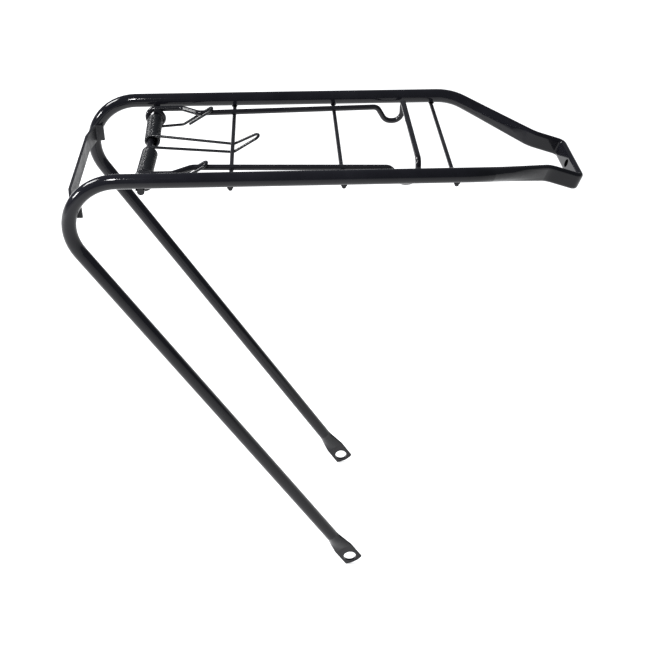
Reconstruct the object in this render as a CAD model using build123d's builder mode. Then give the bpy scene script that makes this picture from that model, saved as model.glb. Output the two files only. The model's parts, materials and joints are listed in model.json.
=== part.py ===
from build123d import *
import math
import os

os.makedirs("parts", exist_ok=True)

# Bicycle rear luggage carrier with a sprung parcel clip.
# Millimetres and degrees. +X points to the nose, +Y to the left rail and +Z up.
# The origin is the centre of the bolt hole in the nose plate.

# --- driving dimensions -------------------------------------------------------------------

# bent steel tube
TUBE_D = 10.0
TUBE_WALL = 1.0
RAIL_SPACING = 132.0  # between the rail centrelines
RAIL_HEIGHT = 360.0  # rail centrelines above the axle holes
AXLE_SPACING = 128.0  # between the middles of the two axle plates
AXLE_SETBACK = 158.6  # axle holes behind the nose bolt hole
LEG_RAKE = 31.5  # legs from the vertical
REAR_BEND_R = 35.0
FRONT_BEND_R = 32.0

# flattened axle plates at the feet of the legs
AXLE_HOLE_D = 10.4
PLATE_WIDTH = 16.4
PLATE_THICK = 2.0
PLATE_SLIT = 0.5  # what is left of the bore where the tube is pressed shut
PLATE_ABOVE_HOLE = 11.0
PLATE_CORNER_BELOW_HOLE = 5.6
PLATE_END_BELOW_HOLE = 7.8
PLATE_TAPER = 19.0  # length over which the round tube becomes the plate

# flattened nose
NOSE_PITCH = 18.5  # nose slopes down towards its front
NOSE_SIDE_ANGLE = 32.5  # sides converge by this angle
NOSE_WIDTH = 56.0  # between the centrelines of its two parallel strips
NOSE_STRIP = 23.8  # length of the parallel strips
STRIP_WIDTH = 12.6
STRIP_THICK = 4.6
NOSE_BEND_R = 16.0
NOSE_CORNER_R = 4.0
NOSE_HOLE_D = 6.0

# rods welded under the rails
ROD_D = 3.0
ROD_OVERHANG = 1.0  # rods run past the rail centrelines
FIRST_ROD_AHEAD = 58.5  # rear cross rod ahead of the hinge rod
LAST_ROD_BEHIND_BEND = 3.9  # front cross rod behind the start of the front bend
HINGE_D = 5.0
HINGE_AHEAD_OF_BEND = 15.2
WELD_SINK = 0.2  # depth of the seat that a weld melts into each rod

# reflector bracket, a flat strap between the rear bends
STRAP_HEIGHT = 12.0
STRAP_THICK = 2.0
STRAP_DROP = 23.0  # strap centre below the rail centrelines
STRAP_SETBACK = 3.0  # strap face behind the tube centreline
STRAP_FLAT = 84.0
STRAP_TAB = 7.0
STRAP_BEND_R = 2.5

# clip frame, one bent rod
CLIP_D = 4.0
CLIP_EYE_INBOARD = 12.6  # eyes inboard of the rail centrelines
JOG_START = 20.0  # ahead of the hinge rod
JOG_LENGTH = 12.5
CLIP_REAR_HALF = 44.3  # half width of the clip just ahead of the jog
CLIP_FRONT_HALF = 50.0  # half width of the clip at its front
BAR_BEHIND_ROD = 23.8  # front bar behind the front cross rod
BAR_RISE = 3.5  # front bar above the rail centrelines
DIP_DEPTH = 12.6  # bottom of the dip below the rail centrelines
DIP_FLOOR = 12.3
DIP_SLOPE_RUN = 6.5
JOG_R = 6.0
DIP_R = 5.0
DIP_FLOOR_R = 7.0

# double torsion spring
WIRE_D = 2.0
COIL_INNER_END = 9.0  # from the middle of the carrier
COIL_TURNS = 17
COIL_MERGE = 0.3  # the loop's own turn runs into the coil body by this much
LOOP_HALF_AT_ROD = 6.6
LOOP_HALF_AT_TIP = 4.0
LOOP_PAST_ROD = 0.6
LOOP_TIP_REACH = 19.0  # loop tip ahead of the rear cross rod
LOOP_TIP_RISE = 0.3  # loop tip above the rail centrelines
ARM_RUN = 20.5  # straight arm, from the hinge rod to its upward bend
HOOK_REACH = 42.6  # hook tip ahead of the hinge rod
HOOK_TAIL = 20.0

# clearances
EYE_GAP = 1.3  # loose eyes around the hinge rod
EYE_TURN_GAP = 0.3  # between the start and the end of each eye's turn
COIL_GAP = 1.1  # loose coils around the hinge rod
HOOK_GAP = 0.3  # spring hook beside and over the clip
TURN_GAP = 0.3  # between the coil and the end turn of each arm
ROD_GAP = 0.1  # spring loop under the rear cross rod

# --- positions that follow ----------------------------------------------------------------

HALF_RAIL = RAIL_SPACING / 2
HALF_NOSE = NOSE_WIDTH / 2
SIDE_RUN = (HALF_RAIL - HALF_NOSE) / math.tan(math.radians(NOSE_SIDE_ANGLE))
nose_plane = Plane(
    origin=(0, 0, 0),
    x_dir=Vector(1, 0, 0).rotate(Axis.Y, NOSE_PITCH),
    z_dir=Vector(0, 0, 1).rotate(Axis.Y, NOSE_PITCH),
)
strip_vertex = nose_plane.from_local_coords(Vector(-NOSE_STRIP, HALF_NOSE, 0))
front_vertex = nose_plane.from_local_coords(Vector(-NOSE_STRIP - SIDE_RUN, HALF_RAIL, 0))
corner_vertex = nose_plane.from_local_coords(Vector(0, HALF_NOSE, 0))
RAIL_Z = front_vertex.Z
axle_hole = Vector(-AXLE_SETBACK, AXLE_SPACING / 2, RAIL_Z - RAIL_HEIGHT)
rear_vertex = Vector(
    axle_hole.X - RAIL_HEIGHT * math.tan(math.radians(LEG_RAKE)), HALF_RAIL, RAIL_Z
)
leg_up = (rear_vertex - axle_hole).normalized()
leg_side = leg_up.cross(Vector(0, 1, 0)).normalized()

REAR_BEND_X = rear_vertex.X + REAR_BEND_R * math.tan(math.radians(45 + LEG_RAKE / 2))
side_dir = (strip_vertex - front_vertex).normalized()
FRONT_TURN = Vector(1, 0, 0).get_angle(side_dir)
FRONT_BEND_X = front_vertex.X - FRONT_BEND_R * math.tan(math.radians(FRONT_TURN / 2))

HINGE_X = REAR_BEND_X + HINGE_AHEAD_OF_BEND
HINGE_Z = RAIL_Z - TUBE_D / 2 - HINGE_D / 2 + WELD_SINK
ROD_Z = RAIL_Z - TUBE_D / 2 - ROD_D / 2 + WELD_SINK
first_rod_x = HINGE_X + FIRST_ROD_AHEAD
last_rod_x = FRONT_BEND_X - LAST_ROD_BEHIND_BEND
rod_places = {
    "cross_rod_rear": first_rod_x,
    "cross_rod_middle": (first_rod_x + last_rod_x) / 2,
    "cross_rod_front": last_rod_x,
}

EYE_R = HINGE_D / 2 + EYE_GAP + CLIP_D / 2
EYE_Y = HALF_RAIL - CLIP_EYE_INBOARD
CLIP_Z = HINGE_Z + EYE_R
BAR_X = last_rod_x - BAR_BEHIND_ROD

COIL_R = HINGE_D / 2 + COIL_GAP + WIRE_D / 2
COIL_OUTER_END = COIL_INNER_END + COIL_TURNS * WIRE_D
ARM_Y = COIL_OUTER_END + TURN_GAP + WIRE_D / 2
ARM_Z = HINGE_Z - COIL_R


def bend(before, corner, after, radius):
    """Start, middle and end of the arc that rounds a corner between two straight runs."""
    back = (before - corner).normalized()
    ahead = (after - corner).normalized()
    half_angle = math.radians(back.get_angle(ahead)) / 2
    to_tangent = radius / math.tan(half_angle)
    inward = (back + ahead).normalized()
    depth = radius / math.sin(half_angle) - radius
    return corner + back * to_tangent, corner + inward * depth, corner + ahead * to_tangent


def around_hinge(radius, angle, y):
    """Point around the hinge axis; angle 0 is the top and positive angles go forward."""
    turn = math.radians(angle)
    return Vector(HINGE_X + radius * math.sin(turn), y, HINGE_Z + radius * math.cos(turn))


def pressed_section(plane, width, thickness):
    """Section of a pressed tube: flat sides and round edges, or a circle where the sizes agree."""
    crown = thickness / 2
    if width > thickness:
        corner_x, corner_y = (width - thickness) / 2, crown
    else:
        corner_x, corner_y = crown / math.sqrt(2), crown / math.sqrt(2)
    with BuildSketch(plane) as section:
        with BuildLine():
            for turn in (1, -1):
                a, b = (-turn * corner_x, turn * corner_y), (turn * corner_x, turn * corner_y)
                if width > thickness:
                    Line(a, b)
                else:
                    ThreePointArc(a, (0, turn * crown), b)
                ThreePointArc(b, (turn * width / 2, 0), (turn * corner_x, -turn * corner_y))
        make_face()
    return section.sketch


# --- bent tube ----------------------------------------------------------------------------

def plate_end_cut():
    """What is cut off below the left axle plate, to leave its slightly rounded end."""
    half = PLATE_WIDTH
    below = 2 * PLATE_END_BELOW_HOLE
    rise = (PLATE_END_BELOW_HOLE - PLATE_CORNER_BELOW_HOLE) * (half / (PLATE_WIDTH / 2)) ** 2
    with BuildPart() as cut:
        with BuildSketch(Plane(origin=axle_hole, x_dir=leg_up, z_dir=leg_side.cross(leg_up))):
            with BuildLine():
                ThreePointArc(
                    (rise - PLATE_END_BELOW_HOLE, -half),
                    (-PLATE_END_BELOW_HOLE, 0),
                    (rise - PLATE_END_BELOW_HOLE, half),
                )
                Polyline(
                    (rise - PLATE_END_BELOW_HOLE, half),
                    (-below, half),
                    (-below, -half),
                    (rise - PLATE_END_BELOW_HOLE, -half),
                )
            make_face()
        extrude(amount=PLATE_THICK, both=True)
    return cut.part


def tube_side(inset):
    """Left half of the tube, from its axle plate to the middle of the nose, less an inset."""
    foot = axle_hole + leg_up * (PLATE_ABOVE_HOLE + PLATE_TAPER)
    plate_top = axle_hole + leg_up * (PLATE_ABOVE_HOLE + 2 * inset)
    plate_width = PLATE_WIDTH - 2 * inset
    plate_thick = PLATE_THICK if inset == 0 else PLATE_SLIT
    round_d = TUBE_D - 2 * inset
    rear = bend(foot, rear_vertex, front_vertex, REAR_BEND_R)
    front = bend(rear_vertex, front_vertex, strip_vertex, FRONT_BEND_R)
    strip = bend(front_vertex, strip_vertex, corner_vertex, NOSE_BEND_R)
    corner = bend(strip_vertex, corner_vertex, Vector(0, 0, 0), NOSE_CORNER_R)
    with BuildPart() as side:
        # round run: leg, rear bend, rail and front bend
        with BuildLine():
            Line(foot, rear[0])
            ThreePointArc(*rear)
            Line(rear[2], front[0])
            ThreePointArc(*front)
        with BuildSketch(Plane(origin=foot, z_dir=leg_up)):
            Circle(round_d / 2)
        sweep()
        # side of the nose: the round tube is pressed flat towards the front
        strip_start = pressed_section(
            Plane(origin=strip[0], x_dir=nose_plane.z_dir, z_dir=side_dir),
            STRIP_WIDTH - 2 * inset,
            STRIP_THICK - 2 * inset,
        )
        nose_start = pressed_section(
            Plane(origin=front[2], x_dir=nose_plane.z_dir, z_dir=side_dir), round_d, round_d
        )
        loft(sections=[nose_start, strip_start])
        # parallel strip, corner and half of the nose plate
        with BuildLine():
            ThreePointArc(*strip)
            Line(strip[2], corner[0])
            ThreePointArc(*corner)
            Line(corner[2], Vector(0, 0, 0))
        sweep(sections=strip_start)
        # foot: the round tube is pressed into the axle plate
        foot_start = pressed_section(
            Plane(origin=foot, x_dir=leg_side, z_dir=-leg_up), round_d, round_d
        )
        foot_end = pressed_section(
            Plane(origin=plate_top, x_dir=leg_side, z_dir=-leg_up), plate_width, plate_thick
        )
        loft(sections=[foot_start, foot_end])
        if inset == 0:
            extrude(foot_end, amount=PLATE_ABOVE_HOLE + PLATE_END_BELOW_HOLE)
            add(plate_end_cut(), mode=Mode.SUBTRACT)
            with BuildSketch(Plane(origin=axle_hole, z_dir=(0, 1, 0))):
                Circle(AXLE_HOLE_D / 2)
            extrude(amount=PLATE_WIDTH, both=True, mode=Mode.SUBTRACT)
    return side.part


tube_outside = tube_side(0.0)
tube_bore = tube_side(TUBE_WALL)

with BuildPart() as tube_frame:
    add(tube_outside)
    mirror(about=Plane.XZ)
    add(tube_bore, mode=Mode.SUBTRACT)
    mirror(tube_bore, about=Plane.XZ, mode=Mode.SUBTRACT)
    with BuildSketch(Plane(origin=(0, 0, 0), z_dir=nose_plane.x_dir)):
        Circle(NOSE_HOLE_D / 2)
    extrude(amount=STRIP_THICK, both=True, mode=Mode.SUBTRACT)

tube_frame.part.label = "tube_frame"
export_step(tube_frame.part, "parts/tube_frame.step")


# --- rods welded under the rails ----------------------------------------------------------

def welded_rod(diameter, x, z):
    """Rod across the carrier, seated in the welds under both rails."""
    with BuildPart() as rod:
        with BuildSketch(Plane(origin=(x, 0, z), z_dir=(0, 1, 0))):
            Circle(diameter / 2)
        extrude(amount=HALF_RAIL + ROD_OVERHANG, both=True)
        with BuildSketch(Plane(origin=(x, 0, RAIL_Z), z_dir=(1, 0, 0), x_dir=(0, 1, 0))):
            with Locations((-HALF_RAIL, 0), (HALF_RAIL, 0)):
                Circle(TUBE_D / 2)
        extrude(amount=diameter, both=True, mode=Mode.SUBTRACT)
    return rod.part


for rod_name, rod_x in rod_places.items():
    cross_rod = welded_rod(ROD_D, rod_x, ROD_Z)
    cross_rod.label = rod_name
    export_step(cross_rod, f"parts/{rod_name}.step")

hinge_rod = welded_rod(HINGE_D, HINGE_X, HINGE_Z)
hinge_rod.label = "hinge_rod"
export_step(hinge_rod, "parts/hinge_rod.step")


# --- reflector bracket --------------------------------------------------------------------

strap_z = RAIL_Z - STRAP_DROP
tube_x = REAR_BEND_X - math.sqrt(REAR_BEND_R**2 - (REAR_BEND_R - STRAP_DROP) ** 2)
strap_x = tube_x - STRAP_SETBACK
tab_y = HALF_RAIL - TUBE_D / 2 - STRAP_THICK / 2 + WELD_SINK

with BuildPart() as reflector_bracket:
    with BuildSketch(Plane.XY.offset(strap_z - STRAP_HEIGHT / 2)):
        with BuildLine():
            FilletPolyline(
                (tube_x + STRAP_TAB, -tab_y),
                (tube_x + 0.5, -tab_y),
                (strap_x, -STRAP_FLAT / 2),
                (strap_x, STRAP_FLAT / 2),
                (tube_x + 0.5, tab_y),
                (tube_x + STRAP_TAB, tab_y),
                radius=STRAP_BEND_R,
            )
        trace(line_width=STRAP_THICK)
    extrude(amount=STRAP_HEIGHT)
    add(tube_outside, mode=Mode.SUBTRACT)
    mirror(tube_outside, about=Plane.XZ, mode=Mode.SUBTRACT)

reflector_bracket.part.label = "reflector_bracket"
export_step(reflector_bracket.part, "parts/reflector_bracket.step")


# --- clip frame ---------------------------------------------------------------------------

jog_x = HINGE_X + JOG_START
dip_z = RAIL_Z - DIP_DEPTH
dip_x = BAR_X - DIP_FLOOR


def eye_point(angle):
    """Point of the left eye, one turn that winds back, down, forward and inboard from its top."""
    return around_hinge(EYE_R, -angle, EYE_Y - (CLIP_D + EYE_TURN_GAP) * angle / 360)


with BuildPart() as clip_frame:
    with BuildLine():
        ThreePointArc(eye_point(360), eye_point(270), eye_point(180))
        ThreePointArc(eye_point(180), eye_point(90), eye_point(0))
        FilletPolyline(
            eye_point(0),
            (jog_x, EYE_Y, CLIP_Z),
            (jog_x + JOG_LENGTH, CLIP_REAR_HALF, CLIP_Z),
            (dip_x - DIP_SLOPE_RUN, CLIP_FRONT_HALF, CLIP_Z),
            (dip_x, CLIP_FRONT_HALF, dip_z),
            (BAR_X, CLIP_FRONT_HALF, dip_z),
            (BAR_X, CLIP_FRONT_HALF, RAIL_Z + BAR_RISE),
            (BAR_X, 0, RAIL_Z + BAR_RISE),
            radius=(JOG_R, JOG_R, DIP_R, DIP_FLOOR_R, DIP_FLOOR_R, DIP_R),
        )
    with BuildSketch(Plane(origin=eye_point(360), z_dir=(1, 0, 0))):
        Circle(CLIP_D / 2)
    sweep()
    mirror(about=Plane.XZ)

clip_frame.part.label = "clip_frame"
export_step(clip_frame.part, "parts/clip_frame.step")


# --- double torsion spring ----------------------------------------------------------------

def coil_body():
    """Close-wound turns of the left coil, as one ribbed sleeve around the hinge rod."""
    with BuildPart() as coil:
        with BuildSketch(Plane(origin=(HINGE_X, 0, HINGE_Z), x_dir=(0, 1, 0), z_dir=(1, 0, 0))):
            with BuildLine():
                Line((COIL_INNER_END, COIL_R), (COIL_INNER_END, COIL_R - WIRE_D / 2))
                Line((COIL_INNER_END, COIL_R - WIRE_D / 2), (COIL_OUTER_END, COIL_R - WIRE_D / 2))
                Line((COIL_OUTER_END, COIL_R - WIRE_D / 2), (COIL_OUTER_END, COIL_R))
                for turn in range(COIL_TURNS):
                    start = COIL_INNER_END + turn * WIRE_D
                    ThreePointArc(
                        (start, COIL_R),
                        (start + WIRE_D / 2, COIL_R + WIRE_D / 2),
                        (start + WIRE_D, COIL_R),
                    )
            make_face()
        revolve(axis=Axis((HINGE_X, 0, HINGE_Z), (0, 1, 0)))
    return coil.part


left_coil = coil_body()
loop_y = COIL_INNER_END - WIRE_D / 2 + COIL_MERGE
under_rod = Vector(first_rod_x, LOOP_HALF_AT_ROD, ROD_Z - ROD_D / 2 - ROD_GAP - WIRE_D / 2)
loop_start = around_hinge(COIL_R, 0, loop_y)
loop_dir = (under_rod - loop_start).normalized()
loop_low = under_rod + loop_dir * LOOP_PAST_ROD
loop_tip_x = first_rod_x + LOOP_TIP_REACH

with BuildPart() as torsion_spring:
    add(left_coil)
    with BuildLine():
        ThreePointArc(
            around_hinge(COIL_R, -180, loop_y),
            around_hinge(COIL_R, -90, loop_y),
            loop_start,
        )
        FilletPolyline(
            loop_start,
            loop_low,
            (loop_tip_x, LOOP_HALF_AT_TIP, RAIL_Z + LOOP_TIP_RISE),
            (loop_tip_x, 0, RAIL_Z + LOOP_TIP_RISE),
            radius=(LOOP_HALF_AT_TIP, LOOP_HALF_AT_TIP - 0.4),
        )
    with BuildSketch(Plane(origin=around_hinge(COIL_R, -180, loop_y), z_dir=(-1, 0, 0))):
        Circle(WIRE_D / 2)
    sweep()
    mirror(about=Plane.XZ)

torsion_spring.part.label = "torsion_spring"
export_step(torsion_spring.part, "parts/torsion_spring.step")


# --- spring arms, which turn with the clip ------------------------------------------------

hook_r = CLIP_D / 2 + WIRE_D / 2 + HOOK_GAP
hook_x = HINGE_X + HOOK_REACH
hook_z = CLIP_Z + CLIP_D / 2 + WIRE_D / 2 + HOOK_GAP
leg_slope = (CLIP_FRONT_HALF - CLIP_REAR_HALF) / (dip_x - DIP_SLOPE_RUN - jog_x - JOG_LENGTH)
leg_half = CLIP_REAR_HALF + leg_slope * (hook_x - hook_r - jog_x - JOG_LENGTH)
arm_bend = Vector(HINGE_X + ARM_RUN, leg_half + hook_r, ARM_Z)
hook_out = Vector(hook_x, leg_half + hook_r, hook_z)
hook_in = Vector(hook_x, leg_half - hook_r, hook_z)
hook_tail = hook_in - (hook_out - arm_bend).normalized() * HOOK_TAIL

with BuildPart() as spring_arm_left:
    with BuildLine():
        ThreePointArc(
            around_hinge(COIL_R, 90, ARM_Y),
            around_hinge(COIL_R, 0, ARM_Y),
            around_hinge(COIL_R, -90, ARM_Y),
        )
        ThreePointArc(
            around_hinge(COIL_R, -90, ARM_Y),
            around_hinge(COIL_R, -135, ARM_Y),
            around_hinge(COIL_R, -180, ARM_Y),
        )
        FilletPolyline(
            around_hinge(COIL_R, -180, ARM_Y),
            arm_bend,
            hook_out,
            hook_in,
            hook_tail,
            radius=(2 * WIRE_D, hook_r - 0.1, hook_r - 0.1),
        )
    with BuildSketch(Plane(origin=around_hinge(COIL_R, 90, ARM_Y), z_dir=(0, 0, 1))):
        Circle(WIRE_D / 2)
    sweep()

with BuildPart() as spring_arm_right:
    mirror(spring_arm_left.part, about=Plane.XZ)

for arm, arm_name in ((spring_arm_left, "spring_arm_left"), (spring_arm_right, "spring_arm_right")):
    arm.part.label = arm_name
    export_step(arm.part, f"parts/{arm_name}.step")
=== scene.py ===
import json
import math
import bpy
import bmesh
from mathutils import Matrix, Vector, noise


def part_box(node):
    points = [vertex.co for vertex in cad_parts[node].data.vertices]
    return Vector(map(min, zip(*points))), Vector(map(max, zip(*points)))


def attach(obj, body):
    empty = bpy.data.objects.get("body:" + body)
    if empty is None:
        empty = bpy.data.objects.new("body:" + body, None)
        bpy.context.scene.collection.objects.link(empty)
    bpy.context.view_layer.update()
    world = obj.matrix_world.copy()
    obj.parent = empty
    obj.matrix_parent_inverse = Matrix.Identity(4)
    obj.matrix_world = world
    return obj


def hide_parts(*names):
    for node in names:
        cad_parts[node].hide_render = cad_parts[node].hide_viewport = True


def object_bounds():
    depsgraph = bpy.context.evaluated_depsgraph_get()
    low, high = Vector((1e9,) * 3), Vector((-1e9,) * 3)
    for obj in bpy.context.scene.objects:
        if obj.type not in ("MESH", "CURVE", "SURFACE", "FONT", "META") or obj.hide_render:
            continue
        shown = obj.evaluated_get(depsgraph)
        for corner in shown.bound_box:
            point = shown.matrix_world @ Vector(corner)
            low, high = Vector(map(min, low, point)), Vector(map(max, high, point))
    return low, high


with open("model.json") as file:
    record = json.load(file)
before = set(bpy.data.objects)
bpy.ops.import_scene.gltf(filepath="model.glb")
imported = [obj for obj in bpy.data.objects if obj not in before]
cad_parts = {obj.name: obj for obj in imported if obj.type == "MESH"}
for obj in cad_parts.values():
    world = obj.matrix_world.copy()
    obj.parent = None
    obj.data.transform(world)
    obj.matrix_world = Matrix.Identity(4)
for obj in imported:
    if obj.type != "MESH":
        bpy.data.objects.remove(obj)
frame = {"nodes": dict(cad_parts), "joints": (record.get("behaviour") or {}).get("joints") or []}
cad_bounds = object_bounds()

MM = 0.001

# --- places read from the frame -----------------------------------------------------------

tube_low, tube_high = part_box("tube_frame")
rod_low, rod_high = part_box("cross_rod_rear")
spring_low, spring_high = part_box("torsion_spring")
arm_low, arm_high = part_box("spring_arm_left")

RODS = ("cross_rod_rear", "cross_rod_middle", "cross_rod_front", "hinge_rod")
TUBE_R = 5 * MM
WIRE_R = 1 * MM
rail_y = tube_high.y - TUBE_R
rail_z = tube_high.z - TUBE_R
hinge = Vector(frame["joints"][0]["pos_m"])
coil_r = hinge.z - arm_low.z - WIRE_R


# --- materials ----------------------------------------------------------------------------

PEEL_DEPTH = 0.05 * MM


def node_at(tree, kind, **values):
    """New shader node with some inputs set."""
    node = tree.nodes.new(kind)
    for key, value in values.items():
        node.inputs[key.replace("_", " ")].default_value = value
    return node


def colour_drift(tree, place, dark, light):
    """Base colour that wanders slowly between two blacks."""
    drift = node_at(tree, "ShaderNodeTexNoise", Scale=28.0, Detail=4.0, Roughness=0.6)
    tree.links.new(place.outputs["Object"], drift.inputs["Vector"])
    tone = tree.nodes.new("ShaderNodeValToRGB")
    first, second = tone.color_ramp.elements
    first.position, first.color = 0.35, (*dark, 1)
    second.position, second.color = 0.70, (*light, 1)
    tree.links.new(drift.outputs["Fac"], tone.inputs["Fac"])
    return tone.outputs["Color"]


def uneven_gloss(tree, place, rough):
    """Roughness a little under and over the stated value."""
    wear = node_at(tree, "ShaderNodeTexNoise", Scale=95.0, Detail=6.0, Roughness=0.65)
    tree.links.new(place.outputs["Object"], wear.inputs["Vector"])
    gloss = node_at(tree, "ShaderNodeMapRange", From_Min=0.3, From_Max=0.7)
    gloss.inputs["To Min"].default_value = rough * 0.75
    gloss.inputs["To Max"].default_value = rough * 1.35
    tree.links.new(wear.outputs["Fac"], gloss.inputs["Value"])
    return gloss.outputs["Result"]


def orange_peel(tree, place, peel, grain_scale):
    """Bump of a slow wave and fine dust nibs."""
    skin = node_at(tree, "ShaderNodeTexNoise", Scale=grain_scale, Detail=2.0, Roughness=0.5)
    wave = node_at(tree, "ShaderNodeTexNoise", Scale=160.0, Detail=1.0, Roughness=0.4)
    blend = tree.nodes.new("ShaderNodeMath")
    blend.operation = "ADD"
    for socket, grain in enumerate((skin, wave)):
        tree.links.new(place.outputs["Object"], grain.inputs["Vector"])
        tree.links.new(grain.outputs["Fac"], blend.inputs[socket])
    bump = node_at(tree, "ShaderNodeBump", Strength=peel, Distance=PEEL_DEPTH)
    tree.links.new(blend.outputs["Value"], bump.inputs["Height"])
    return bump.outputs["Normal"]


def black_paint(name, dark, light, rough, peel, grain_scale=900.0):
    """Glossy black enamel: slight colour drift, uneven gloss, orange peel and fine dust nibs."""
    material = bpy.data.materials.new(name)
    material.use_nodes = True
    tree = material.node_tree
    shader = tree.nodes["Principled BSDF"]
    shader.inputs["Specular IOR Level"].default_value = 0.26
    shader.inputs["Coat Weight"].default_value = 0.05
    shader.inputs["Coat Roughness"].default_value = 0.06
    place = tree.nodes.new("ShaderNodeTexCoord")
    tree.links.new(colour_drift(tree, place, dark, light), shader.inputs["Base Color"])
    tree.links.new(uneven_gloss(tree, place, rough), shader.inputs["Roughness"])
    tree.links.new(orange_peel(tree, place, peel, grain_scale), shader.inputs["Normal"])
    return material


tube_paint = black_paint("tube_enamel", (0.0045, 0.0045, 0.0065), (0.009, 0.009, 0.012), 0.08, 0.20)
rod_paint = black_paint("rod_enamel", (0.006, 0.006, 0.008), (0.012, 0.012, 0.014), 0.16, 0.30)
strap_paint = black_paint("strap_enamel", (0.010, 0.010, 0.012), (0.018, 0.018, 0.021), 0.38, 0.30)
wire_paint = black_paint("wire_finish", (0.006, 0.0065, 0.008), (0.013, 0.014, 0.016), 0.26, 0.12)


def repaint(node, material):
    """Gives a CAD node a new material."""
    thing = frame["nodes"][node]
    thing.data.materials.clear()
    thing.data.materials.append(material)


repaint("tube_frame", tube_paint)
repaint("reflector_bracket", strap_paint)
repaint("clip_frame", rod_paint)
for rod in RODS:
    repaint(rod, rod_paint)


# --- swept wire ---------------------------------------------------------------------------

DOME = ((0.55, 0.28), (0.90, 0.1225))  # size and push of the two rings of a domed end, in radii
RIPPLE_SCALE = 900.0


def smooth_corners(points, radius, steps=8):
    """Points of a route with each inner corner rounded to the radius, or less where runs are short."""
    route = [points[0]]
    for before, corner, after in zip(points, points[1:], points[2:]):
        back = (before - corner)
        ahead = (after - corner)
        half = back.angle(ahead) / 2
        reach = min(radius / math.tan(half), 0.49 * back.length, 0.49 * ahead.length)
        start = corner + back.normalized() * reach
        end = corner + ahead.normalized() * reach
        for step in range(steps + 1):
            t = step / steps
            route.append(start.lerp(corner, t).lerp(corner.lerp(end, t), t))
    route.append(points[-1])
    return route


def wire_stations(route):
    """Centre, heading, size and push of every ring along a wire, with a dome at both ends."""
    last = len(route) - 1
    headings = []
    for index in range(last + 1):
        ahead = route[min(index + 1, last)] - route[max(index - 1, 0)]
        headings.append(ahead.normalized())
    start = [(route[0], headings[0], size, -push) for size, push in DOME]
    middle = [(point, heading, 1.0, 0.0) for point, heading in zip(route, headings)]
    end = [(route[-1], headings[-1], size, push) for size, push in reversed(DOME)]
    return start + middle + end


def ring_points(centre, side, up, radius, size, sides, ripple, seed):
    """Corners of one ring, pushed in and out by noise where there is a ripple."""
    points = []
    for corner in range(sides):
        angle = 2 * math.pi * corner / sides
        out = side * math.cos(angle) + up * math.sin(angle)
        swell = 1.0
        if ripple:
            swell += ripple * noise.noise((centre + out * radius) * RIPPLE_SCALE + Vector((seed, 0, 0)))
        points.append(centre + out * radius * size * swell)
    return points


def skin_over(build, rings):
    """Faces between neighbouring rings, and a cap on each end."""
    sides = len(rings[0])
    for first, second in zip(rings, rings[1:]):
        for corner in range(sides):
            after = (corner + 1) % sides
            build.faces.new((first[corner], first[after], second[after], second[corner]))
    build.faces.new(list(reversed(rings[0])))
    build.faces.new(rings[-1])
    bmesh.ops.recalc_face_normals(build, faces=build.faces)
    for face in build.faces:
        face.smooth = True


def tube_mesh(name, route, radius, sides=16, ripple=0.0, seed=0.0):
    """Round wire along a route, with domed ends and, for weld metal, a rippled surface."""
    build = bmesh.new()
    stations = wire_stations(route)
    heading = stations[0][1]
    side = heading.orthogonal().normalized()
    rings = []
    for point, direction, size, push in stations:
        side = (heading.rotation_difference(direction) @ side).normalized()
        heading = direction
        centre = point + heading * push * radius
        corners = ring_points(centre, side, heading.cross(side), radius, size, sides, ripple, seed)
        rings.append([build.verts.new(corner) for corner in corners])
    skin_over(build, rings)
    mesh = bpy.data.meshes.new(name)
    build.to_mesh(mesh)
    build.free()
    piece = bpy.data.objects.new(name, mesh)
    bpy.context.scene.collection.objects.link(piece)
    return piece


def around_hinge(angle, y):
    """Point of the coil's wire; angle 0 is the top and positive angles go forward."""
    return Vector((hinge.x + coil_r * math.sin(angle), y, hinge.z + coil_r * math.cos(angle)))


# --- double torsion spring ----------------------------------------------------------------

COIL_TURNS = 16.75
COIL_STEPS = 28
COIL_CANT = 1.0 * MM
LOOP_UNDER_ROD = 0.10 * MM
LOOP_HALF_AT_ROD = 6.6 * MM
LOOP_HALF_AT_TIP = 4.0 * MM
LOOP_PAST_ROD = 0.6 * MM

coil_out = spring_high.y + 0.8 * MM
coil_in = 9.5 * MM
rod_x = (rod_low.x + rod_high.x) / 2


def half_spring(side):
    """One coil and its half of the centre loop, from the arm inwards; side is 1 or -1."""
    steps = int(COIL_TURNS * COIL_STEPS)
    route = []
    for step in range(steps + 1):
        share = step / steps
        angle = math.pi / 2 + share * COIL_TURNS * 2 * math.pi
        point = around_hinge(angle, coil_out + (coil_in - coil_out) * share)
        route.append(point + Vector((COIL_CANT * share, 0, 0)))
    start = route[-1]
    under = Vector((rod_x, LOOP_HALF_AT_ROD, rod_low.z - LOOP_UNDER_ROD - WIRE_R))
    low = under + (under - start).normalized() * LOOP_PAST_ROD
    tip_x = spring_high.x - WIRE_R - LOOP_HALF_AT_TIP
    tip = Vector((tip_x, LOOP_HALF_AT_TIP, spring_high.z - 2.5 * WIRE_R))
    route += smooth_corners([start, low, tip], LOOP_HALF_AT_TIP)[1:]
    return [Vector((point.x, side * point.y, point.z)) for point in route]


def rounded_tip(left, right, steps=10):
    """Half turn that joins the two wires of the loop."""
    half = (left[-1] - right[-1]) / 2
    middle = (left[-1] + right[-1]) / 2
    out = (left[-1] - left[-2]).normalized() * half.length
    turn = [math.pi * step / steps for step in range(1, steps)]
    return [middle + half * math.cos(angle) + out * math.sin(angle) for angle in turn]


left_half = half_spring(1)
right_half = half_spring(-1)
spring_route = left_half + rounded_tip(left_half, right_half) + list(reversed(right_half))
spring = tube_mesh("torsion_spring_wire", spring_route, WIRE_R * 0.99, sides=14)
spring.data.materials.append(wire_paint)
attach(spring, "carrier")
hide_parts("torsion_spring")

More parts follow.
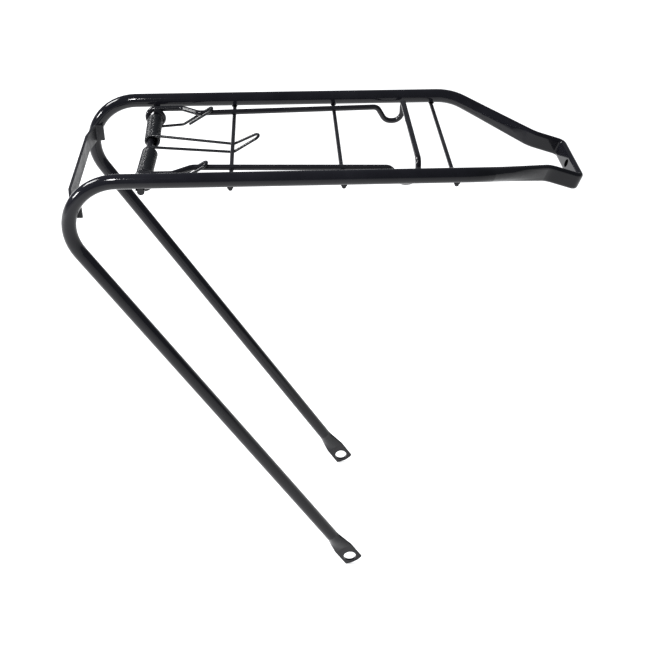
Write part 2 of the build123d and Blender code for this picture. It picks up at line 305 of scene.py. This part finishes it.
repaint("spring_arm_left", wire_paint)
repaint("spring_arm_right", wire_paint)


# --- weld beads ---------------------------------------------------------------------------

BEAD_R = 1.0 * MM
BEAD_REACH = 2.2 * MM
BEAD_STEPS = 6


def bead(name, route, radius, seed):
    """Short run of painted weld metal."""
    piece = tube_mesh(name, route, radius, sides=12, ripple=0.5, seed=seed)
    piece.data.materials.append(tube_paint)
    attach(piece, "carrier")


def bead_route(x, side, rod_radius):
    """Points that follow the underside of a rail, along its seam with a rod."""
    route = []
    for step in range(-BEAD_STEPS, BEAD_STEPS + 1):
        off_centre = BEAD_REACH * step / BEAD_STEPS
        lift = TUBE_R - math.sqrt(TUBE_R**2 - off_centre**2)
        height = rail_z - TUBE_R + lift - 0.25 * rod_radius
        route.append(Vector((x, side * rail_y + off_centre, height)))
    return route


def rod_welds(node):
    """Beads behind and ahead of a rod where it crosses under each rail."""
    low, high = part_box(node)
    radius = (high.z - low.z) / 2
    x = (low.x + high.x) / 2
    reach = radius * 0.92 + 0.15 * MM
    size = BEAD_R * (0.35 + radius / (10 * MM))
    for side, side_name in ((1, "left"), (-1, "right")):
        for fore, end_name in ((1, "front"), (-1, "back")):
            name = f"weld_{node}_{side_name}_{end_name}"
            bead(name, bead_route(x + fore * reach, side, radius), size, seed=x * 1000 + side)


for rod in RODS:
    rod_welds(rod)


# --- floor, light and camera --------------------------------------------------------------

low, high = Vector(cad_bounds[0]), Vector(cad_bounds[1])
centre = (low + high) / 2

FLOOR_HALF = 20.0
FLOOR_BELOW = 0.5 * MM
FLOOR_GLOW = 0.52
SKY_COLOUR = (0.86, 0.91, 1.0, 1)
SKY_STRENGTH = 0.20

CAMERA_PITCH = math.radians(35.087)
CAMERA_YAW = math.radians(2.830)
CAMERA_ROLL = math.radians(0.204)
CAMERA_FROM_CENTRE = Vector((-0.0346, -0.6858, 0.5000))
CAMERA_LENS = 58.4


def white_paper():
    """Matt white with a faint glow, so that the floor stays white in the shade."""
    material = bpy.data.materials.new("floor_white")
    material.use_nodes = True
    shader = material.node_tree.nodes["Principled BSDF"]
    shader.inputs["Base Color"].default_value = (0.92, 0.92, 0.92, 1)
    shader.inputs["Roughness"].default_value = 0.9
    shader.inputs["Specular IOR Level"].default_value = 0.1
    shader.inputs["Emission Color"].default_value = (1, 1, 1, 1)
    shader.inputs["Emission Strength"].default_value = FLOOR_GLOW
    return material


def add_floor():
    """Square floor just under the feet."""
    half = FLOOR_HALF
    corners = [(-half, -half, 0), (half, -half, 0), (half, half, 0), (-half, half, 0)]
    mesh = bpy.data.meshes.new("floor")
    mesh.from_pydata(corners, [], [(0, 1, 2, 3)])
    mesh.materials.append(white_paper())
    floor = bpy.data.objects.new("floor", mesh)
    floor.location = (centre.x, centre.y, low.z - FLOOR_BELOW)
    bpy.context.scene.collection.objects.link(floor)


def add_sky():
    """Weak, slightly cool light from all round."""
    world = bpy.context.scene.world or bpy.data.worlds.new("studio")
    bpy.context.scene.world = world
    world.use_nodes = True
    sky = world.node_tree.nodes["Background"]
    sky.inputs["Color"].default_value = SKY_COLOUR
    sky.inputs["Strength"].default_value = SKY_STRENGTH


def softbox(name, offset, size, power):
    """Square area light aimed at the middle of the object."""
    lamp = bpy.data.lights.new(name, "AREA")
    lamp.shape = "SQUARE"
    lamp.size = size
    lamp.energy = power
    holder = bpy.data.objects.new(name, lamp)
    holder.location = centre + Vector(offset)
    holder.rotation_euler = (-Vector(offset)).to_track_quat("-Z", "Y").to_euler()
    bpy.context.scene.collection.objects.link(holder)


def add_camera():
    """Camera at the photograph's angle."""
    data = bpy.data.cameras.new("camera")
    data.sensor_width = 36
    data.lens = CAMERA_LENS
    camera = bpy.data.objects.new("camera", data)
    camera.matrix_world = (
        Matrix.Translation(centre + CAMERA_FROM_CENTRE)
        @ Matrix.Rotation(-CAMERA_YAW, 4, "Z")
        @ Matrix.Rotation(math.pi / 2 - CAMERA_PITCH, 4, "X")
        @ Matrix.Rotation(CAMERA_ROLL, 4, "Z")
    )
    bpy.context.scene.collection.objects.link(camera)
    bpy.context.scene.camera = camera


add_floor()
add_sky()
softbox("high_left", (-0.226, -0.219, 0.479), 0.06, 1.3)
softbox("low_left", (-1.90, -0.45, 0.75), 0.34, 24)
softbox("left", (-2.60, 0.90, 2.60), 1.20, 130)
add_camera()
bpy.context.scene.view_settings.view_transform = "Standard"
